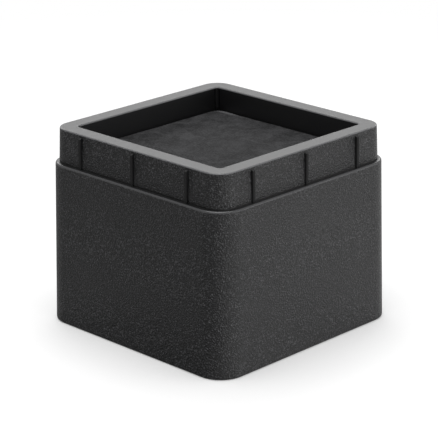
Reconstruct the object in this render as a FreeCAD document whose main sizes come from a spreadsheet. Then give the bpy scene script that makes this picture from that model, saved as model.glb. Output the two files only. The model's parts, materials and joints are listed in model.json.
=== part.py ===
import FreeCAD, Part
import math
import os

import Sketcher

# A square, stackable bed riser: one hollow moulding with a raised collar round its leg recess,
# and a loose die-cut pad that lies in the recess. Millimetres, +Z up, origin under the centre of the base.

SIZES = {
    # Outer body: a box with rounded corners whose sides lean in from the floor to the shoulder.
    "base_width": 114.0,
    "side_lean": 1.3,
    "body_height": 76.0,
    "body_corner_radius": 12.5,
    "base_edge_radius": 1.2,
    "shoulder_edge_radius": 1.0,
    # Collar: stands on the shoulder and fits inside the skirt of the riser above, with this gap all round.
    # Its corners are tighter than the body's, so the shoulder narrows there.
    "collar_clearance": 0.6,
    "collar_draft": 0.6,
    "collar_height": 16.0,
    "collar_corner_radius": 9.0,
    "rim_width": 7.85,
    "rim_edge_radius": 0.6,
    # Leg recess: how far the pad's top lies below the rim, and the slope and corners of its walls.
    "seat_depth": 10.5,
    "recess_draft": 0.3,
    "recess_corner_radius": 1.5,
    # Wall thicknesses.
    "skirt_wall": 3.0,
    "collar_wall": 2.4,
    "tray_wall": 2.2,
    "tray_floor": 3.0,
    "rim_thickness": 3.0,
    # Braces under the recess floor, which stop above the collar of a riser stacked below.
    "brace_thickness": 2.0,
    "brace_pitch": 36.0,
    "stacking_clearance": 0.6,
    # Upright crush ribs on the collar: they fill its clearance and grip the skirt of the riser above,
    # and end this drop below the rim.
    "crush_rib_width": 1.2,
    "crush_rib_drop": 1.0,
    "crush_rib_lead": 1.0,
    "crush_rib_inset": 20.0,
    # Pad in the recess.
    "pad_thickness": 3.0,
    "pad_side_gap": 1.0,
    "pad_corner_radius": 5.0,
}

# How far an added form reaches into the wall that carries it.
BITE = 1.0

SHOULDER_WIDTH = "(Sizes.base_width - 2 * Sizes.side_lean)"
SKIRT_MOUTH = "(Sizes.base_width - 2 * Sizes.skirt_wall)"
COLLAR_WIDTH = f"({SKIRT_MOUTH} - 2 * Sizes.collar_clearance)"
RIM_OUTER = f"({COLLAR_WIDTH} - 2 * Sizes.collar_draft)"
RECESS_WIDTH = f"({RIM_OUTER} - 2 * Sizes.rim_width)"
RECESS_FLOOR_WIDTH = f"({RECESS_WIDTH} - 2 * Sizes.recess_draft)"
PAD_WIDTH = f"({RECESS_FLOOR_WIDTH} - 2 * Sizes.pad_side_gap)"

TOP = "(Sizes.body_height + Sizes.collar_height)"
RECESS_FLOOR = f"({TOP} - Sizes.seat_depth - Sizes.pad_thickness)"
RIM_UNDERSIDE = f"({TOP} - Sizes.rim_thickness)"
SHOULDER_UNDERSIDE = "(Sizes.body_height - Sizes.collar_wall)"
BRACE_BOTTOM = "(Sizes.collar_height + Sizes.stacking_clearance)"

SKIRT_CORNER = "(Sizes.body_corner_radius - Sizes.skirt_wall)"
RIM_CORNER = "(Sizes.collar_corner_radius - Sizes.collar_draft)"


def make_sheet(doc):
    """One row for each driving size: its name beside its value."""
    sheet = doc.addObject("Spreadsheet::Sheet", "Sizes")
    for row, (name, value) in enumerate(SIZES.items(), start=1):
        sheet.set(f"A{row}", name)
        sheet.set(f"B{row}", str(value))
        sheet.setAlias(f"B{row}", name)
    doc.recompute()


def make_body(doc, name):
    body = doc.addObject("PartDesign::Body", name)
    body.Label = name
    body.Placement = FreeCAD.Placement()
    return body


def origin_feature(body, role):
    """The body's own origin plane or axis with the given role."""
    return next(item for item in body.Origin.OriginFeatures if item.Role == role)


def attached_sketch(body, name, plane, offset):
    """An empty sketch on an origin plane, moved along the plane's normal by an expression."""
    sketch = body.newObject("Sketcher::SketchObject", name)
    sketch.AttachmentSupport = [(origin_feature(body, plane), "")]
    sketch.MapMode = "FlatFace"
    if offset:
        sketch.setExpression("AttachmentOffset.Base.z", offset)
    return sketch


def name_constraint(sketch, constraint, name, expression):
    index = sketch.addConstraint(constraint)
    sketch.renameConstraint(index, name)
    sketch.setExpression(f"Constraints.{name}", expression)


def rounded_square(body, name, width, radius, height):
    """A square with four equal round corners, centred on the upright axis at the given height."""
    sketch = attached_sketch(body, name, "XY_Plane", height)
    side = float(body.evalExpression(width)) / 2
    corner = float(body.evalExpression(radius))
    flat = side - corner
    point = FreeCAD.Vector
    ends = [(-flat, -side, flat, -side), (side, -flat, side, flat),
            (flat, side, -flat, side), (-side, flat, -side, -flat)]
    for x1, y1, x2, y2 in ends:
        sketch.addGeometry(Part.LineSegment(point(x1, y1, 0), point(x2, y2, 0)), False)
    quarter = math.pi / 2
    for turn, (x, y) in enumerate([(flat, -flat), (flat, flat), (-flat, flat), (-flat, -flat)]):
        circle = Part.Circle(point(x, y, 0), point(0, 0, 1), corner)
        arc = Part.ArcOfCircle(circle, (turn - 1) * quarter, turn * quarter)
        sketch.addGeometry(arc, False)
    for line in range(4):
        arc = 4 + line
        sketch.addConstraint(Sketcher.Constraint("Tangent", line, 2, arc, 1))
        sketch.addConstraint(Sketcher.Constraint("Tangent", arc, 2, (line + 1) % 4, 1))
    for line in range(4):
        kind = "Horizontal" if line % 2 == 0 else "Vertical"
        sketch.addConstraint(Sketcher.Constraint(kind, line))
    for arc in (5, 6, 7):
        sketch.addConstraint(Sketcher.Constraint("Equal", 4, arc))
    sketch.addConstraint(Sketcher.Constraint("Equal", 0, 1))
    sketch.addConstraint(Sketcher.Constraint("Symmetric", 4, 3, 6, 3, -1, 1))
    name_constraint(sketch, Sketcher.Constraint("DistanceX", 3, 1, 1, 1, 2 * side), "width", width)
    name_constraint(sketch, Sketcher.Constraint("Radius", 4, corner), "corner", radius)
    return sketch


def polygon(body, name, plane, offset, corners):
    """A closed outline whose corners are pairs of expressions, measured from the sketch's origin."""
    sketch = attached_sketch(body, name, plane, offset)
    points = []
    for across, up in corners:
        points.append(FreeCAD.Vector(float(body.evalExpression(across)), float(body.evalExpression(up)), 0))
    count = len(points)
    for index, start in enumerate(points):
        sketch.addGeometry(Part.LineSegment(start, points[(index + 1) % count]), False)
    for index in range(count):
        sketch.addConstraint(Sketcher.Constraint("Coincident", index, 2, (index + 1) % count, 1))
    for index, (across, up) in enumerate(corners):
        x_of = Sketcher.Constraint("DistanceX", -1, 1, index, 1, points[index].x)
        y_of = Sketcher.Constraint("DistanceY", -1, 1, index, 1, points[index].y)
        name_constraint(sketch, x_of, f"across{index}", across)
        name_constraint(sketch, y_of, f"up{index}", up)
    return sketch


def loft(body, name, kind, lower, upper):
    """Straight-sided loft between two sketches; kind is AdditiveLoft or SubtractiveLoft."""
    feature = body.newObject(f"PartDesign::{kind}", name)
    feature.Profile = lower
    feature.Sections = [upper]
    feature.Ruled = True
    lower.Visibility = False
    upper.Visibility = False
    body.Document.recompute()
    return feature


def pad(body, name, sketch, length, symmetric=False):
    feature = body.newObject("PartDesign::Pad", name)
    feature.Profile = sketch
    feature.setExpression("Length", length)
    if symmetric:
        feature.SideType = "Symmetric"
    sketch.Visibility = False
    body.Document.recompute()
    return feature


def fillet(body, name, radius, picks):
    """Rounds level edge loops of the body. Each pick is the height and the full width of one loop."""
    base = body.Tip
    tolerance = 0.05
    loops = [(float(body.evalExpression(height)), float(body.evalExpression(width)) / 2)
             for height, width in picks]
    chosen = []
    for index, edge in enumerate(base.Shape.Edges, start=1):
        box = edge.BoundBox
        reach = max(abs(box.XMin), abs(box.XMax), abs(box.YMin), abs(box.YMax))
        for height, half in loops:
            level = abs(box.ZMin - height) < tolerance and abs(box.ZMax - height) < tolerance
            if level and abs(reach - half) < tolerance:
                chosen.append(f"Edge{index}")
    feature = body.newObject("PartDesign::Fillet", name)
    feature.Base = (base, chosen)
    feature.setExpression("Radius", radius)
    body.Document.recompute()
    return feature


def add_outer_form(body):
    """Tapered body with the collar standing on its shoulder."""
    base = rounded_square(body, "base_outline", "Sizes.base_width", "Sizes.body_corner_radius", "")
    shoulder = rounded_square(body, "shoulder_outline", SHOULDER_WIDTH,
                              "Sizes.body_corner_radius", "Sizes.body_height")
    loft(body, "outer_body", "AdditiveLoft", base, shoulder)
    collar_foot = rounded_square(body, "collar_foot_outline", COLLAR_WIDTH,
                                 "Sizes.collar_corner_radius", "Sizes.body_height")
    rim = rounded_square(body, "rim_outline", RIM_OUTER, RIM_CORNER, TOP)
    loft(body, "collar", "AdditiveLoft", collar_foot, rim)


def cut_underside(body):
    """Hollows the skirt and the collar from below, leaving their walls, the shoulder and the rim."""
    mouth = rounded_square(body, "skirt_mouth", SKIRT_MOUTH, SKIRT_CORNER, "")
    ceiling = rounded_square(body, "skirt_ceiling", f"{SHOULDER_WIDTH} - 2 * Sizes.skirt_wall",
                             SKIRT_CORNER, SHOULDER_UNDERSIDE)
    loft(body, "skirt_hollow", "SubtractiveLoft", mouth, ceiling)
    foot = rounded_square(body, "collar_hollow_foot", f"{COLLAR_WIDTH} - 2 * Sizes.collar_wall",
                          "Sizes.collar_corner_radius - Sizes.collar_wall", SHOULDER_UNDERSIDE)
    head = rounded_square(body, "collar_hollow_head", f"{RIM_OUTER} - 2 * Sizes.collar_wall",
                          f"{RIM_CORNER} - Sizes.collar_wall", RIM_UNDERSIDE)
    loft(body, "collar_hollow", "SubtractiveLoft", foot, head)


def add_braces(body):
    """Crossed braces from wall to wall, deep under the recess floor and up inside the collar."""
    in_skirt = f"({SHOULDER_WIDTH} / 2 - Sizes.skirt_wall / 2)"
    at_bottom = f"({in_skirt} + Sizes.side_lean * (1 - {BRACE_BOTTOM} / Sizes.body_height))"
    in_collar = f"({RIM_OUTER} / 2 - Sizes.collar_wall / 2)"
    tray_top = f"({RIM_UNDERSIDE} + Sizes.rim_thickness / 2)"
    half = [(at_bottom, BRACE_BOTTOM), (in_skirt, SHOULDER_UNDERSIDE),
            (in_collar, SHOULDER_UNDERSIDE), (in_collar, tray_top)]
    outline = half + [(f"-{across}", up) for across, up in reversed(half)]
    for plane, label in (("XZ_Plane", "along_x"), ("YZ_Plane", "along_y")):
        for side, sign in (("low", "-"), ("high", "")):
            sketch = polygon(body, f"brace_{label}_{side}_outline", plane,
                             f"{sign}Sizes.brace_pitch / 2", outline)
            pad(body, f"brace_{label}_{side}", sketch, "Sizes.brace_thickness", symmetric=True)


def cut_recess(body):
    """Tray walls and floor hung from the rim, then the leg recess cut into them from above."""
    tray = f"{RECESS_WIDTH} + 2 * Sizes.tray_wall"
    tray_corner = "Sizes.recess_corner_radius + Sizes.tray_wall"
    tray_bottom = f"{RECESS_FLOOR} - Sizes.tray_floor"
    outline = rounded_square(body, "tray_outline", tray, tray_corner, tray_bottom)
    pad(body, "tray", outline, f"{RIM_UNDERSIDE} - ({tray_bottom}) + Sizes.rim_thickness / 2")
    floor = rounded_square(body, "recess_floor_outline", RECESS_FLOOR_WIDTH,
                           "Sizes.recess_corner_radius", RECESS_FLOOR)
    mouth = rounded_square(body, "recess_mouth_outline", RECESS_WIDTH, "Sizes.recess_corner_radius", TOP)
    loft(body, "leg_recess", "SubtractiveLoft", floor, mouth)


def add_crush_ribs(body):
    """Three upright ribs on each side of the collar, chamfered off below the rim."""
    inside = f"-({RIM_OUTER} / 2 - {BITE})"
    outside = f"-({COLLAR_WIDTH} / 2 + Sizes.collar_clearance)"
    from_middle = f"({COLLAR_WIDTH} / 2 - Sizes.crush_rib_inset)"
    rib_top = f"({TOP} - Sizes.crush_rib_drop)"
    outline = [(inside, "Sizes.body_height"), (outside, "Sizes.body_height"),
               (outside, f"{rib_top} - Sizes.crush_rib_lead"), (inside, rib_top)]
    ribs = []
    for label, offset in (("left", f"-{from_middle}"), ("middle", ""), ("right", from_middle)):
        sketch = polygon(body, f"crush_rib_{label}_outline", "YZ_Plane", offset, outline)
        ribs.append(pad(body, f"crush_rib_{label}", sketch, "Sizes.crush_rib_width", symmetric=True))
    ring = body.newObject("PartDesign::PolarPattern", "crush_ribs_on_four_sides")
    ring.Originals = ribs
    ring.Axis = (origin_feature(body, "Z_Axis"), [""])
    ring.Angle = 360
    ring.Occurrences = 4
    body.Tip = ring
    body.Document.recompute()


def round_edges(body):
    fillet(body, "rim_edges", "Sizes.rim_edge_radius", [(TOP, RIM_OUTER), (TOP, RECESS_WIDTH)])
    fillet(body, "shoulder_edge", "Sizes.shoulder_edge_radius", [("Sizes.body_height", SHOULDER_WIDTH)])
    fillet(body, "base_edge", "Sizes.base_edge_radius", [("0", "Sizes.base_width")])


def build_riser_shell(doc):
    body = make_body(doc, "riser_shell")
    add_outer_form(body)
    cut_underside(body)
    add_braces(body)
    cut_recess(body)
    add_crush_ribs(body)
    round_edges(body)
    return body


def build_recess_pad(doc):
    """Die-cut sheet that lies loose on the recess floor."""
    body = make_body(doc, "recess_pad")
    outline = rounded_square(body, "pad_outline", PAD_WIDTH, "Sizes.pad_corner_radius", RECESS_FLOOR)
    pad(body, "pad_sheet", outline, "Sizes.pad_thickness")
    return body


def check_and_export(doc, bodies):
    doc.recompute()
    for item in doc.Objects:
        if "Invalid" in item.State or "Error" in item.State:
            raise RuntimeError(f"{item.Label} failed: {item.State}")
    os.makedirs("parts", exist_ok=True)
    for body in bodies:
        shape = body.Shape
        if shape.isNull() or not shape.isValid() or len(shape.Solids) != 1:
            raise RuntimeError(f"{body.Label} is not one sound solid")
        shape.exportStep(f"parts/{body.Label}.step")
        print(body.Label, "volume", round(shape.Volume / 1000, 2), "cm3", shape.BoundBox)


def main():
    doc = FreeCAD.newDocument("bed_riser")
    make_sheet(doc)
    bodies = [build_riser_shell(doc), build_recess_pad(doc)]
    check_and_export(doc, bodies)


main()
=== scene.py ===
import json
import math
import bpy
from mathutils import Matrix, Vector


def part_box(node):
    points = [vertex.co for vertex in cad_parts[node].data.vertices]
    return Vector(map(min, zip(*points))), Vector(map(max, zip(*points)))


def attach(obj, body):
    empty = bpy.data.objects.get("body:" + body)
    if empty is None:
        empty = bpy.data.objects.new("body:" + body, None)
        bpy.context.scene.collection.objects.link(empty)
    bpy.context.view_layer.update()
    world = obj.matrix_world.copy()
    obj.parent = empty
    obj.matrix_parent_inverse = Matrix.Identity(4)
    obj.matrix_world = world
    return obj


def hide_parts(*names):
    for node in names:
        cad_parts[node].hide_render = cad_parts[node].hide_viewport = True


bl_info = {
    "name": "Stackable bed riser",
    "version": (1, 0, 0),
    "blender": (4, 5, 0),
    "location": "View3D > Sidebar > Riser",
    "description": "Finishes a moulded bed riser, lays the pad in its recess and sets the studio",
    "category": "Object",
}

import bpy
from bpy.props import FloatProperty, IntProperty, PointerProperty, StringProperty
from bpy.types import Operator, Panel, PropertyGroup
from mathutils import Matrix, Vector

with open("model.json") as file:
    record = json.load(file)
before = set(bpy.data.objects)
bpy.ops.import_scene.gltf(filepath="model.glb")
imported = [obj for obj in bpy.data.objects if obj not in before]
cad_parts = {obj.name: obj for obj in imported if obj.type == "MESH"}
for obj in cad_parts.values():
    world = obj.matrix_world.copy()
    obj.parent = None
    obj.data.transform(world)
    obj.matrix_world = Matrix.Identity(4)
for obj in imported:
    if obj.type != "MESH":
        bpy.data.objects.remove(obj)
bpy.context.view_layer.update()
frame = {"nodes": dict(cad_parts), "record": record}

MM = 0.001
SHELL = frame["nodes"]["riser_shell"]
SHELL_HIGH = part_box("riser_shell")[1]
PAD_SOLID = "recess_pad"
PAD_LOW, PAD_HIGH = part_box(PAD_SOLID)
SHOULDER = next(mount["pos_m"][2] for mount in frame["record"]["mounts"]
                if mount["name"] == "stacking_shoulder")

# A point nearer than this to the height of the rim or the ledge lies in that level face.
LEVEL_FACE = 0.02 * MM
# A face that looks outwards, from further than this off the middle, is one of the outer faces.
OUTER_FACE = 0.9 * PAD_HIGH.x

FLOOR_REACH = 6.0
# How light the floor is as a light on the riser: at the ends of a line across it, 0.4 m to the left
# and to the right of the riser as the camera sees it, and at shares of the way between them.
FLOOR_SPAN = 0.4
FLOOR_ENDS = (0.12, 0.50)
FLOOR_BETWEEN = ((0.25, 0.25), (0.38, 0.25), (0.485, 0.14), (0.515, 0.58), (0.60, 0.50), (0.66, 0.45))
# Name, place, width and height, and watts of each lamp. All of them face the middle of the riser.
LAMPS = (("back_softbox", (-0.9, 0.9, 0.65), (1.4, 0.35), 5.0),
         ("right_softbox", (0.95, 0.75, 0.3), (0.8, 0.5), 2.0),
         ("side_softbox", (1.1, -0.15, 0.2), (0.3, 0.3), 1.2),
         ("top_softbox", (0.0, -0.1, 1.5), (1.2, 1.2), 17.0))
FILM_WIDTH = 36.0


def linear(code, share=1.0):
    """An sRGB hex colour as linear RGBA, darkened or lightened by a share."""
    parts = [int(code[i:i + 2], 16) / 255 for i in (1, 3, 5)]
    plain = [part / 12.92 if part <= 0.04045 else ((part + 0.055) / 1.055) ** 2.4 for part in parts]
    return [share * part for part in plain] + [1.0]


class RiserShellSettings(PropertyGroup):
    plastic: StringProperty(
        name="Plastic", description="Colour of the black moulded plastic", default="#141415")
    # Painted shade: the crease at the collar's foot and the recess's inner corners are painted in this
    # blacker colour, where shade falls.
    deep: StringProperty(
        name="Deep black",
        description="Colour in the crease at the collar's foot and in the recess's corners",
        default="#080809")
    # Painted glints: the highest grains of the eroded sides are painted in this lighter colour. Their
    # relief itself is a real bump.
    grain_glint_colour: StringProperty(
        name="Grain tips", description="Colour of the rubbed tips of the grain", default="#545456")
    # Painted highlight: the edges of the rim and the ledge are painted in this lighter colour, where
    # they catch the light; the ledge's edge takes the share below.
    painted_edge_colour: StringProperty(
        name="Worn edge", description="Colour of the rubbed edges of the rim and the ledge",
        default="#5c5c5e")
    ledge_paint_share: FloatProperty(
        name="Ledge wear", description="Share of the worn colour that the ledge's edge has",
        default=0.4, subtype="FACTOR")
    spark_grain: FloatProperty(
        name="Spark grain",
        description="Size of the spark-eroded grain on the sides, drawn coarse enough to show",
        default=0.65 * MM, unit="LENGTH")
    pit_spread: FloatProperty(
        name="Pit spread", description="Distance between the grain's pits, as a multiple of its size",
        default=1.25)
    grain_depth: FloatProperty(
        name="Grain depth", description="Height of the grain's relief", default=0.50 * MM,
        unit="LENGTH")
    ledge_zone: FloatProperty(
        name="Ledge zone", description="How far the smooth edge of the shoulder reaches up and down",
        default=0.9 * MM, unit="LENGTH")
    collar_start: FloatProperty(
        name="Collar start", description="Height above the shoulder at which the ribs begin",
        default=0.1 * MM, unit="LENGTH")
    # These three heights place the crease at the collar's foot: it is a little smoother there, and
    # painted blacker as painted shade.
    crease_start: FloatProperty(
        name="Crease start", description="Height above the shoulder at which the deep black begins",
        default=0.01 * MM, unit="LENGTH")
    crease_full: FloatProperty(
        name="Crease height", description="How far up the collar the crease at its foot is deep black",
        default=0.6 * MM, unit="LENGTH")
    crease_end: FloatProperty(
        name="Crease end", description="How far up the collar the crease has faded away",
        default=1.6 * MM, unit="LENGTH")
    rib_reach: FloatProperty(
        name="Rib reach", description="How far inside the widest side the smooth crush ribs begin",
        default=3.56 * MM, unit="LENGTH")
    rib_spacing: FloatProperty(
        name="Rib spacing", description="From the middle rib of a side to the next one",
        default=33.4 * MM, unit="LENGTH")
    rib_land: FloatProperty(
        name="Rib land", description="Half the width of the smooth strip that each rib stands in",
        default=1.0 * MM, unit="LENGTH")
    wall_zone: FloatProperty(
        name="Wall zone",
        description="How far past the pad's edge the smooth finish of the recess walls reaches",
        default=2.0 * MM, unit="LENGTH")
    corner_zone: FloatProperty(
        name="Corner zone", description="How far inside the pad's edges the recess's corners begin",
        default=0.6 * MM, unit="LENGTH")
    rim_land: FloatProperty(
        name="Rim land", description="Depth below the top that the smooth finish of the rim reaches",
        default=0.35 * MM, unit="LENGTH")
    # The rim's edges reach this deep: they are glossier there, and painted lighter as a painted
    # highlight.
    rim_edge_depth: FloatProperty(
        name="Rim wear", description="Depth below the top that the rubbed edges of the rim reach",
        default=0.5 * MM, unit="LENGTH")


class RecessPadSettings(PropertyGroup):
    rubber: StringProperty(
        name="Foam rubber", description="Colour of the pad's matt top", default="#343435")
    cell_size: FloatProperty(
        name="Cell size", description="Width of the foam's skin cells, drawn coarse enough to show",
        default=0.8 * MM, unit="LENGTH")
    cell_depth: FloatProperty(
        name="Cell depth", description="Height of the skin's relief", default=0.35 * MM, unit="LENGTH")
    smudge_size: FloatProperty(
        name="Smudge size", description="Width of the handling marks", default=9.0 * MM, unit="LENGTH")
    # Painted highlight: a place on the pad's back edge is painted lighter, where the edge catches the
    # light. The next settings place it and set its lightness.
    pad_highlight_reach: FloatProperty(
        name="Scuff reach", description="How far the rubbed place reaches along the pad's back edge",
        default=9.0 * MM, unit="LENGTH")
    pad_highlight_aside: FloatProperty(
        name="Scuff aside", description="From the pad's left edge to the middle of the rubbed place",
        default=6.5 * MM, unit="LENGTH")
    pad_highlight_inset: FloatProperty(
        name="Scuff inset", description="From the pad's back edge to the middle of the rubbed place",
        default=1.0 * MM, unit="LENGTH")
    pad_highlight_full: FloatProperty(
        name="Scuff width",
        description="How far in from the back edge the rubbed place is at its lightest",
        default=1.8 * MM, unit="LENGTH")
    pad_highlight_end: FloatProperty(
        name="Scuff end", description="How far in from the back edge the rubbed place has faded away",
        default=3.4 * MM, unit="LENGTH")
    pad_highlight_share: FloatProperty(
        name="Scuff lightness", description="Colour of the rubbed place, as a multiple of the rubber's",
        default=2.7)
    corner: FloatProperty(
        name="Corner radius", description="Radius of the die-cut corners", default=5.0 * MM,
        unit="LENGTH")
    wander: FloatProperty(
        name="Cut wander", description="How far the cut edge strays from straight", default=0.35 * MM,
        unit="LENGTH")
    swell: FloatProperty(
        name="Swell", description="Height of the soft unevenness of the top", default=0.18 * MM,
        unit="LENGTH")
    edge_radius: FloatProperty(
        name="Edge radius", description="Softness of the pad's upper edge", default=0.45 * MM,
        unit="LENGTH")
    steps: IntProperty(
        name="Steps", description="Points along each side of the mesh of the pad", default=97, min=9)


class StudioSettings(PropertyGroup):
    azimuth: FloatProperty(
        name="Azimuth", description="Where the camera stands, in degrees round from the front",
        default=44.6)
    elevation: FloatProperty(
        name="Elevation", description="How far the camera looks down, in degrees", default=19.4)
    roll: FloatProperty(
        name="Roll", description="Turn of the camera about its own axis, in degrees", default=-0.38)
    distance: FloatProperty(
        name="Distance", description="From the camera to the middle of the riser", default=0.922,
        unit="LENGTH")
    lens: FloatProperty(
        name="Lens", description="Focal length on a 36 mm wide frame", default=166.0)


class Nodes:
    """A node tree, with the one way to add a node to it.

    The inputs are a tuple, in their order, or a dict with their names or numbers. Each is a value, a
    socket to link, or a node, which stands for its first output.
    """

    def __init__(self, tree):
        self.tree = tree
        tree.nodes.clear()

    def add(self, kind, inputs=(), **settings):
        node = self.tree.nodes.new(kind)
        for key, value in settings.items():
            setattr(node, key, value)
        for key, value in inputs.items() if isinstance(inputs, dict) else enumerate(inputs):
            if isinstance(value, bpy.types.Node):
                value = value.outputs[0]
            if isinstance(value, bpy.types.NodeSocket):
                self.tree.links.new(value, node.inputs[key])
            else:
                node.inputs[key].default_value = value
        return node


def new_material(name):
    material = bpy.data.materials.new(name)
    material.use_nodes = True
    return material, Nodes(material.node_tree)


def moulded_plastic(settings):
    """Impact-modified ABS, injection moulded black.

    The outer faces come from a spark-eroded steel mould, so fine sand-like grains glint in side light,
    and their highest grains are painted lighter as painted glints. The rim was polished in the mould
    and shows a broad soft highlight. Its edges and the ledge's are glossier and painted lighter, as a
    painted highlight. The recess walls are plain and smooth: they mirror the dark pad, so they stay
    deep black. The crease at the collar's foot and the recess's inner corners are painted blacker
    still, as painted shade.
    The ribs are matt and stand in smooth strips, so they show as thin dark lines.
    """
    material, n = new_material("moulded_black_plastic")
    coordinates = n.add("ShaderNodeTexCoord").outputs
    place = coordinates["Object"]
    height = n.add("ShaderNodeSeparateXYZ", (place,)).outputs["Z"]
    below_top = n.add("ShaderNodeMath", (SHELL_HIGH.z, height), operation="SUBTRACT")
    above_shoulder = n.add("ShaderNodeMath", (height, SHOULDER), operation="SUBTRACT")
    unsigned = n.add("ShaderNodeVectorMath", (place,), operation="ABSOLUTE")
    x, y, _ = n.add("ShaderNodeSeparateXYZ", (unsigned,)).outputs
    across = n.add("ShaderNodeMath", (x, y), operation="MAXIMUM")
    along = n.add("ShaderNodeMath", (x, y), operation="MINIMUM")

    # The zones of the moulding. Each is 1 where the zone is and 0 elsewhere.
    outside = n.add("ShaderNodeMath", (across, PAD_HIGH.x + settings.wall_zone),
                    operation="GREATER_THAN")
    below_rim = n.add("ShaderNodeMapRange", (below_top, settings.rim_land / 3, settings.rim_land))
    sides = n.add("ShaderNodeMath", (outside, below_rim), operation="MULTIPLY")
    inside = n.add("ShaderNodeMath", (below_rim, sides), operation="SUBTRACT")
    above_tray = n.add("ShaderNodeMath", (height, PAD_LOW.z), operation="GREATER_THAN")
    recess_walls = n.add("ShaderNodeMath", (inside, above_tray), operation="MULTIPLY")
    far_along = n.add("ShaderNodeMath", (along, PAD_HIGH.x - settings.corner_zone),
                      operation="GREATER_THAN")
    inner_corners = n.add("ShaderNodeMath", (recess_walls, far_along), operation="MULTIPLY")

    on_collar = n.add("ShaderNodeMath", (above_shoulder, settings.collar_start),
                      operation="GREATER_THAN")
    proud = n.add("ShaderNodeMath", (across, SHELL_HIGH.x - settings.rib_reach),
                  operation="GREATER_THAN")
    ribs = n.add("ShaderNodeMath", (proud, on_collar), operation="MULTIPLY")
    past_side_rib = n.add("ShaderNodeMath", (along, settings.rib_spacing), operation="SUBTRACT")
    from_side_rib = n.add("ShaderNodeMath", (past_side_rib,), operation="ABSOLUTE")
    from_rib = n.add("ShaderNodeMath", (along, from_side_rib), operation="MINIMUM")
    near_rib = n.add("ShaderNodeMath", (from_rib, settings.rib_land), operation="LESS_THAN")
    rib_lands = n.add("ShaderNodeMath", (near_rib, on_collar), operation="MULTIPLY")

    level_place = n.add("ShaderNodeVectorMath", (place, (1.0, 1.0, 0.0)), operation="MULTIPLY")
    outward = n.add("ShaderNodeVectorMath", (level_place, coordinates["Normal"]),
                    operation="DOT_PRODUCT").outputs["Value"]
    outer_face = n.add("ShaderNodeMath", (outward, OUTER_FACE), operation="GREATER_THAN")
    from_shoulder = n.add("ShaderNodeMath", (above_shoulder,), operation="ABSOLUTE")
    off_ledge = n.add("ShaderNodeMapRange", (from_shoulder, settings.ledge_zone / 2,
                                             settings.ledge_zone))
    off_ribs = n.add("ShaderNodeMath", (1.0, ribs), operation="SUBTRACT")
    off_lands = n.add("ShaderNodeMath", (1.0, rib_lands), operation="SUBTRACT")
    eroded = sides
    for zone in (outer_face, off_ledge, off_ribs):
        eroded = n.add("ShaderNodeMath", (eroded, zone), operation="MULTIPLY")
    textured = n.add("ShaderNodeMath", (eroded, off_lands), operation="MULTIPLY")

    under_rim = n.add("ShaderNodeMath", (below_top, LEVEL_FACE), operation="GREATER_THAN")
    near_rim = n.add("ShaderNodeMath", (below_top, settings.rim_edge_depth), operation="LESS_THAN")
    rim_edges = n.add("ShaderNodeMath", (under_rim, near_rim), operation="MULTIPLY")
    near_ledge = n.add("ShaderNodeMath", (above_shoulder, -settings.ledge_zone),
                      operation="GREATER_THAN")
    under_ledge = n.add("ShaderNodeMath", (above_shoulder, -LEVEL_FACE), operation="LESS_THAN")
    ledge_edge = n.add("ShaderNodeMath", (near_ledge, under_ledge), operation="MULTIPLY")
    over_ledge = n.add("ShaderNodeMath", (above_shoulder, settings.crease_start),
                       operation="GREATER_THAN")
    at_foot = n.add("ShaderNodeMapRange", (above_shoulder, settings.crease_full, settings.crease_end,
                                            1.0, 0.0))
    crease = n.add("ShaderNodeMath", (over_ledge, at_foot), operation="MULTIPLY")

    # The relief: sand-like grains with pits between them, and a trace of both on the smooth faces.
    pit_share, grain_relief, smooth_relief = 0.5, 0.9, 0.04
    sand = n.add("ShaderNodeTexNoise", {"Vector": place, "Scale": 1 / settings.spark_grain,
                                        "Detail": 1.5, "Roughness": 0.6})
    pits = n.add("ShaderNodeTexVoronoi", {
        "Vector": place, "Scale": 1 / (settings.spark_grain * settings.pit_spread)})
    relief = n.add("ShaderNodeMath", (pits, pit_share, sand), operation="MULTIPLY_ADD")
    strength = n.add("ShaderNodeMath", (textured, grain_relief, smooth_relief),
                     operation="MULTIPLY_ADD")
    bump = n.add("ShaderNodeBump", {"Height": relief, "Strength": strength,
                                    "Distance": settings.grain_depth})

    # The roughness: that of the plain faces, with what each zone adds to it or takes off. The sheen of
    # the eroded faces varies in clouds, of which about 28 go into a metre.
    rough = 0.40
    cloud = n.add("ShaderNodeTexNoise", {"Vector": place, "Scale": 28.0, "Detail": 2.0})
    sheen = n.add("ShaderNodeMapRange", (cloud, 0.3, 0.7, -0.13, -0.05))
    sheltered = n.add("ShaderNodeMath", (recess_walls, crease), operation="MAXIMUM")
    edges = n.add("ShaderNodeMath", (rim_edges, ledge_edge), operation="MAXIMUM")
    for zone, change in ((sheltered, -0.06), (eroded, sheen), (edges, -0.15), (ribs, 0.5),
                         (inner_corners, -0.07)):
        rough = n.add("ShaderNodeMath", (zone, change, rough), operation="MULTIPLY_ADD")

    # The colour: the plain black, with each of the others laid over it by its share: painted
    # shade in the crease and the recess's inner corners, painted glints on the tips of the grain,
    # and a painted highlight on the edges of the rim and the ledge. The tips are the highest of the
    # grains, so their range lies above the middle of the noise.
    highest_grains = n.add("ShaderNodeMapRange", (sand, 0.53, 0.70))
    tips = n.add("ShaderNodeMath", (highest_grains, textured), operation="MULTIPLY")
    # Painted highlight: the edges of the rim, and the ledge's edge at its share, are painted lighter.
    ledge_painted = n.add("ShaderNodeMath", (ledge_edge, settings.ledge_paint_share), operation="MULTIPLY")
    edge_highlight = n.add("ShaderNodeMath", (rim_edges, ledge_painted), operation="MAXIMUM")
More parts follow.
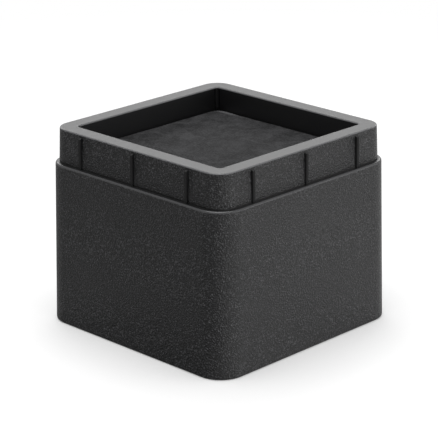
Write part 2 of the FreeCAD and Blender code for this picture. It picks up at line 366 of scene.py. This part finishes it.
    # Painted shade: the crease and the recess's inner corners are painted blacker.
    painted_shade = n.add("ShaderNodeMath", (crease, inner_corners), operation="MAXIMUM")
    tone = linear(settings.plastic)
    for share, colour in ((painted_shade, settings.deep), (tips, settings.grain_glint_colour),
                          (edge_highlight, settings.painted_edge_colour)):
        tone = n.add("ShaderNodeMix", {0: share, 6: tone, 7: linear(colour)},
                     data_type="RGBA").outputs[2]

    shader = n.add("ShaderNodeBsdfPrincipled", {"Base Color": tone, "Roughness": rough,
                                                "IOR": 1.53, "Normal": bump})
    n.add("ShaderNodeOutputMaterial", {"Surface": shader})
    return material


def foam_rubber(settings):
    """Closed-cell foam rubber, die cut from sheet.

    It is matt, with a skin of fine cells, smudged by handling, and painted lighter at one place on its
    back edge, as a painted highlight where the edge catches the light.
    """
    material, n = new_material("pad_foam_rubber")
    place = n.add("ShaderNodeTexCoord").outputs["Object"]
    cells = n.add("ShaderNodeTexVoronoi", {"Vector": place, "Scale": 1 / settings.cell_size})
    skin = n.add("ShaderNodeTexNoise", {"Vector": place, "Scale": 1 / settings.cell_size,
                                        "Detail": 2.0})
    relief = n.add("ShaderNodeMath", (cells, skin), operation="ADD")
    bump = n.add("ShaderNodeBump", {"Height": relief, "Strength": 0.8, "Distance": settings.cell_depth})

    # Smudges, broken up by half as much of the skin's own pattern: each end of the range has its place
    # in the pattern and its share of the rubber's colour.
    dark_end, light_end = (0.60, 0.6), (0.92, 1.5)
    smudge = n.add("ShaderNodeTexNoise", {"Vector": place, "Scale": 1 / settings.smudge_size,
                                          "Detail": 6.0, "Roughness": 0.72, "Distortion": 1.2})
    mottle = n.add("ShaderNodeMath", (skin, 0.5, smudge), operation="MULTIPLY_ADD")
    tone = n.add("ShaderNodeValToRGB", (mottle,))
    for element, (spot, share) in zip(tone.color_ramp.elements, (dark_end, light_end)):
        element.position = spot
        element.color = linear(settings.rubber, share)
    rough = n.add("ShaderNodeMapRange", (smudge, 0.3, 0.7, 0.72, 0.88))

    # Painted highlight: a lighter place on the pad's back edge, where the edge catches the light.
    middle = (PAD_LOW.x + settings.pad_highlight_aside, PAD_HIGH.y - settings.pad_highlight_inset, PAD_HIGH.z)
    away = n.add("ShaderNodeVectorMath", (place, middle), operation="DISTANCE").outputs["Value"]
    near = n.add("ShaderNodeMapRange", (away, settings.pad_highlight_reach / 2, settings.pad_highlight_reach, 1.0, 0.0))
    depth = n.add("ShaderNodeSeparateXYZ", (place,)).outputs["Y"]
    arris = n.add("ShaderNodeMapRange", (depth, PAD_HIGH.y - settings.pad_highlight_end,
                                         PAD_HIGH.y - settings.pad_highlight_full))
    pad_highlight_zone = n.add("ShaderNodeMath", (near, arris), operation="MULTIPLY")
    painted_highlight = n.add("ShaderNodeMix", {0: pad_highlight_zone, 6: tone.outputs["Color"],
                                     7: linear(settings.rubber, settings.pad_highlight_share)},
                   data_type="RGBA").outputs[2]
    shader = n.add("ShaderNodeBsdfPrincipled", {"Base Color": painted_highlight, "Roughness": rough, "IOR": 1.45,
                                                "Specular IOR Level": 0.06, "Normal": bump})
    n.add("ShaderNodeOutputMaterial", {"Surface": shader})
    return material


class RISER_OT_finish_shell(Operator):
    """Gives the moulded shell its textured black finish"""
    bl_idname = "riser.finish_shell"
    bl_label = "Finish the shell"

    def execute(self, context):
        SHELL.data.materials.clear()
        SHELL.data.materials.append(moulded_plastic(context.scene.riser_shell))
        return {"FINISHED"}


def pad_tree(material):
    """Geometry nodes for a die-cut pad: a grid bent to a square with round corners, then thickened.

    Each grid point keeps its place up to the corner zone, where a square ring becomes a round one. The
    outline strays inwards only, and most at the cut edge, and the top is uneven downwards only.
    """
    tree = bpy.data.node_groups.new("die_cut_pad", "GeometryNodeTree")
    tree.interface.new_socket("Geometry", in_out="OUTPUT", socket_type="NodeSocketGeometry")
    for label in ("Width", "Corner", "Thickness", "Floor", "Wander", "Swell"):
        tree.interface.new_socket(label, in_out="INPUT", socket_type="NodeSocketFloat")
    tree.interface.new_socket("Steps", in_out="INPUT", socket_type="NodeSocketInt")
    n = Nodes(tree)
    sizes = n.add("NodeGroupInput").outputs

    grid = n.add("GeometryNodeMeshGrid", {"Size X": sizes["Width"], "Size Y": sizes["Width"],
                                          "Vertices X": sizes["Steps"], "Vertices Y": sizes["Steps"]})
    place = n.add("GeometryNodeInputPosition")
    side = n.add("ShaderNodeVectorMath", (place,), operation="SIGN")
    away = n.add("ShaderNodeVectorMath", (place,), operation="ABSOLUTE")
    half = n.add("ShaderNodeMath", (sizes["Width"], 0.5), operation="MULTIPLY")
    straight = n.add("ShaderNodeMath", (half, sizes["Corner"]), operation="SUBTRACT")
    inner = n.add("ShaderNodeCombineXYZ", (straight, straight, 0.0))
    held = n.add("ShaderNodeVectorMath", (away, inner), operation="MINIMUM")
    beyond = n.add("ShaderNodeVectorMath", (away, inner), operation="SUBTRACT")
    past = n.add("ShaderNodeVectorMath", (beyond, (0.0, 0.0, 0.0)), operation="MAXIMUM")
    past_x, past_y, _ = n.add("ShaderNodeSeparateXYZ", (past,)).outputs
    ring = n.add("ShaderNodeMath", (past_x, past_y), operation="MAXIMUM")
    heading = n.add("ShaderNodeVectorMath", (past,), operation="NORMALIZE")
    turned = n.add("ShaderNodeVectorMath", {0: heading, "Scale": ring}, operation="SCALE")
    quarter = n.add("ShaderNodeVectorMath", (held, turned), operation="ADD")
    bent = n.add("ShaderNodeVectorMath", (quarter, side), operation="MULTIPLY")

    # The waves are about 17 mm long at the cut edge (60 in a metre) and 26 mm on the top (38). The power
    # keeps the wander to the edge, and the noise, which is a half on average, is doubled.
    edge_power, doubled_inwards = 12.0, -2.0
    whole = n.add("ShaderNodeCombineXYZ", (half, half, 1.0))
    share = n.add("ShaderNodeVectorMath", (away, whole), operation="DIVIDE")
    share_x, share_y, _ = n.add("ShaderNodeSeparateXYZ", (share,)).outputs
    outmost = n.add("ShaderNodeMath", (share_x, share_y), operation="MAXIMUM")
    outness = n.add("ShaderNodeMath", (outmost, edge_power), operation="POWER")
    stray = n.add("ShaderNodeTexNoise", {"Vector": place, "Scale": 60.0, "Detail": 1.0})
    stray_width = n.add("ShaderNodeMath", (stray, sizes["Wander"]), operation="MULTIPLY")
    pull = n.add("ShaderNodeMath", (outness, doubled_inwards), operation="MULTIPLY")
    inward = n.add("ShaderNodeMath", (stray_width, pull), operation="MULTIPLY")
    radial = n.add("ShaderNodeVectorMath", (bent,), operation="NORMALIZE")
    pulled = n.add("ShaderNodeVectorMath", {0: radial, "Scale": inward}, operation="SCALE")
    outline = n.add("ShaderNodeVectorMath", (bent, pulled), operation="ADD")

    floor = n.add("ShaderNodeCombineXYZ", (0.0, 0.0, sizes["Floor"]))
    lift = n.add("GeometryNodeSetPosition", {"Geometry": grid, "Position": outline, "Offset": floor})
    down = n.add("GeometryNodeFlipFaces", {"Mesh": lift})
    raised = n.add("GeometryNodeExtrudeMesh", {"Mesh": lift, "Offset": (0.0, 0.0, 1.0),
                                               "Offset Scale": sizes["Thickness"], "Individual": False})
    soft = n.add("ShaderNodeTexNoise", {"Vector": place, "Scale": 38.0, "Detail": 2.0})
    below_full = n.add("ShaderNodeMath", (soft, 1.0), operation="SUBTRACT")
    dip = n.add("ShaderNodeMath", (below_full, sizes["Swell"]), operation="MULTIPLY")
    lowered = n.add("ShaderNodeCombineXYZ", (0.0, 0.0, dip))
    uneven = n.add("GeometryNodeSetPosition", {"Geometry": raised.outputs["Mesh"],
                                               "Selection": raised.outputs["Top"], "Offset": lowered})
    both = n.add("GeometryNodeJoinGeometry")
    for part in (uneven, down):
        tree.links.new(part.outputs[0], both.inputs[0])
    welded = n.add("GeometryNodeMergeByDistance", {"Geometry": both, "Distance": 0.001 * MM})
    real = n.add("GeometryNodeRealizeInstances", {"Geometry": welded})
    done = n.add("GeometryNodeSetMaterial", {"Geometry": real, "Material": material})
    n.add("NodeGroupOutput", (done,))
    return tree


def settled_mesh(name, tree, values):
    """A plain mesh object made by a node tree, with the values set by their sockets' identifiers."""
    maker = bpy.data.objects.new(name + "_maker", bpy.data.meshes.new(name + "_seed"))
    bpy.context.scene.collection.objects.link(maker)
    modifier = maker.modifiers.new("nodes", "NODES")
    modifier.node_group = tree
    for item in tree.interface.items_tree:
        if item.in_out == "INPUT":
            modifier[item.identifier] = values[item.name]
    evaluated = maker.evaluated_get(bpy.context.evaluated_depsgraph_get())
    mesh = bpy.data.meshes.new_from_object(evaluated)
    mesh.name = name
    bpy.data.objects.remove(maker)
    piece = bpy.data.objects.new(name, mesh)
    bpy.context.scene.collection.objects.link(piece)
    return piece


class RISER_OT_lay_pad(Operator):
    """Lays the die-cut foam pad in the leg recess"""
    bl_idname = "riser.lay_pad"
    bl_label = "Lay the pad"

    def execute(self, context):
        settings = context.scene.recess_pad
        values = {"Width": PAD_HIGH.x - PAD_LOW.x, "Corner": settings.corner,
                  "Thickness": PAD_HIGH.z - PAD_LOW.z, "Floor": PAD_LOW.z,
                  "Wander": settings.wander, "Swell": settings.swell, "Steps": settings.steps}
        pad = settled_mesh("foam_pad", pad_tree(foam_rubber(settings)), values)
        if not pad.data.vertices:
            raise RuntimeError("the pad's tree gave no mesh")
        soften = pad.modifiers.new("soft_edge", "BEVEL")
        soften.width = settings.edge_radius
        soften.segments = 3
        soften.limit_method = "ANGLE"
        soften.angle_limit = math.radians(50)
        pad.data.shade_smooth()
        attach(pad, "root")
        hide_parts(PAD_SOLID)
        return {"FINISHED"}


def area_lamp(name, place, size, power, aim):
    data = bpy.data.lights.new(name, "AREA")
    data.shape = "RECTANGLE"
    data.size, data.size_y = size
    data.energy = power
    lamp = bpy.data.objects.new(name, data)
    lamp.location = place
    lamp.rotation_euler = (aim - Vector(place)).to_track_quat("-Z", "Y").to_euler()
    bpy.context.scene.collection.objects.link(lamp)


def studio_floor():
    """Matt white paper, wide enough to fill the picture from every side.

    It is white to the eye, with the riser's soft shadow close round it. As a light on the riser it
    falls off to the left of the camera's view, so that the faces on that side keep their depth of black.
    """
    mesh = bpy.data.meshes.new("studio_floor")
    corners = [(x * FLOOR_REACH, y * FLOOR_REACH, 0.0) for x, y in ((-1, -1), (1, -1), (1, 1), (-1, 1))]
    mesh.from_pydata(corners, [], [(0, 1, 2, 3)])
    floor = bpy.data.objects.new("studio_floor", mesh)
    bpy.context.scene.collection.objects.link(floor)

    material, n = new_material("white_paper")
    place = n.add("ShaderNodeTexCoord").outputs["Object"]
    rightwards = Vector((1.0, 1.0, 0.0)).normalized()
    away = n.add("ShaderNodeVectorMath", (place, rightwards), operation="DOT_PRODUCT").outputs["Value"]
    across = n.add("ShaderNodeMapRange", (away, -FLOOR_SPAN, FLOOR_SPAN))
    level = n.add("ShaderNodeValToRGB", (across,))
    for element, share in zip(level.color_ramp.elements, FLOOR_ENDS):
        element.color = linear("#ffffff", share)
    for spot, share in FLOOR_BETWEEN:
        level.color_ramp.elements.new(spot).color = linear("#ffffff", share)
    to_camera = n.add("ShaderNodeLightPath").outputs["Is Camera Ray"]
    colour = n.add("ShaderNodeMix", {0: to_camera, 6: level.outputs["Color"], 7: linear("#f4f4f4")},
                   data_type="RGBA").outputs[2]
    paper = n.add("ShaderNodeBsdfPrincipled", {"Base Color": colour, "Roughness": 0.9,
                                               "Specular IOR Level": 0.1})
    glow = n.add("ShaderNodeEmission", {"Color": linear("#ffffff"), "Strength": 1.0})
    distance = n.add("ShaderNodeVectorMath", (place,), operation="LENGTH").outputs["Value"]
    shadow_reach, white_from, glow_in_shadow = 0.15, 0.6, 0.2
    whiter = n.add("ShaderNodeMapRange", (distance, shadow_reach, white_from, glow_in_shadow, 1.0))
    glowing = n.add("ShaderNodeMath", (to_camera, whiter), operation="MULTIPLY")
    seen = n.add("ShaderNodeMixShader", (glowing, paper, glow))
    n.add("ShaderNodeOutputMaterial", {"Surface": seen})
    mesh.materials.append(material)


def studio_world():
    """White to the eye; a plainer level as light."""
    world = bpy.data.worlds.new("studio_world")
    bpy.context.scene.world = world
    world.use_nodes = True
    n = Nodes(world.node_tree)
    to_camera = n.add("ShaderNodeLightPath").outputs["Is Camera Ray"]
    light = n.add("ShaderNodeBackground", {"Color": linear("#ffffff"), "Strength": 0.55})
    seen = n.add("ShaderNodeBackground", {"Color": linear("#ffffff"), "Strength": 1.0})
    mixed = n.add("ShaderNodeMixShader", (to_camera, light, seen))
    n.add("ShaderNodeOutputWorld", {"Surface": mixed})


def studio_camera(settings, aim):
    """The camera at the viewing angle and the framing of the settings."""
    data = bpy.data.cameras.new("camera")
    data.sensor_fit = "HORIZONTAL"
    data.sensor_width = FILM_WIDTH
    data.lens = settings.lens
    data.clip_start, data.clip_end = 0.01, 50.0
    camera = bpy.data.objects.new("camera", data)
    bpy.context.scene.collection.objects.link(camera)
    turn, tilt = math.radians(settings.azimuth), math.radians(settings.elevation)
    back = Vector((math.sin(turn) * math.cos(tilt), -math.cos(turn) * math.cos(tilt), math.sin(tilt)))
    camera.location = aim + back * settings.distance
    facing = (-back).to_track_quat("-Z", "Y").to_matrix()
    camera.rotation_euler = (facing @ Matrix.Rotation(math.radians(settings.roll), 3, "Z")).to_euler()
    bpy.context.scene.camera = camera


class RISER_OT_set_studio(Operator):
    """Sets the floor, lamps, world and camera"""
    bl_idname = "riser.set_studio"
    bl_label = "Set the studio"

    def execute(self, context):
        middle = Vector((0, 0, SHELL_HIGH.z / 2))
        studio_floor()
        studio_world()
        for lamp in LAMPS:
            area_lamp(*lamp, aim=middle)
        studio_camera(context.scene.riser_studio, middle)
        context.scene.view_settings.view_transform = "Standard"
        return {"FINISHED"}


class RISER_PT_sidebar(Panel):
    """Lists the settings and steps of the riser"""
    bl_label = "Bed riser"
    bl_idname = "RISER_PT_sidebar"
    bl_space_type = "VIEW_3D"
    bl_region_type = "UI"
    bl_category = "Riser"

    def draw(self, context):
        for label, settings, step in (("Shell", context.scene.riser_shell, "riser.finish_shell"),
                                      ("Pad", context.scene.recess_pad, "riser.lay_pad"),
                                      ("Studio", context.scene.riser_studio, "riser.set_studio")):
            box = self.layout.box()
            box.label(text=label)
            for key in settings.__annotations__:
                box.prop(settings, key)
            box.operator(step)


CLASSES = (RiserShellSettings, RecessPadSettings, StudioSettings, RISER_OT_finish_shell,
           RISER_OT_lay_pad, RISER_OT_set_studio, RISER_PT_sidebar)


def register():
    for item in CLASSES:
        bpy.utils.register_class(item)
    bpy.types.Scene.riser_shell = PointerProperty(type=RiserShellSettings)
    bpy.types.Scene.recess_pad = PointerProperty(type=RecessPadSettings)
    bpy.types.Scene.riser_studio = PointerProperty(type=StudioSettings)


def unregister():
    del bpy.types.Scene.riser_studio
    del bpy.types.Scene.recess_pad
    del bpy.types.Scene.riser_shell
    for item in reversed(CLASSES):
        bpy.utils.unregister_class(item)


def main():
    register()
    bpy.ops.riser.finish_shell()
    bpy.ops.riser.lay_pad()
    bpy.ops.riser.set_studio()


if __name__ == "__main__":
    main()
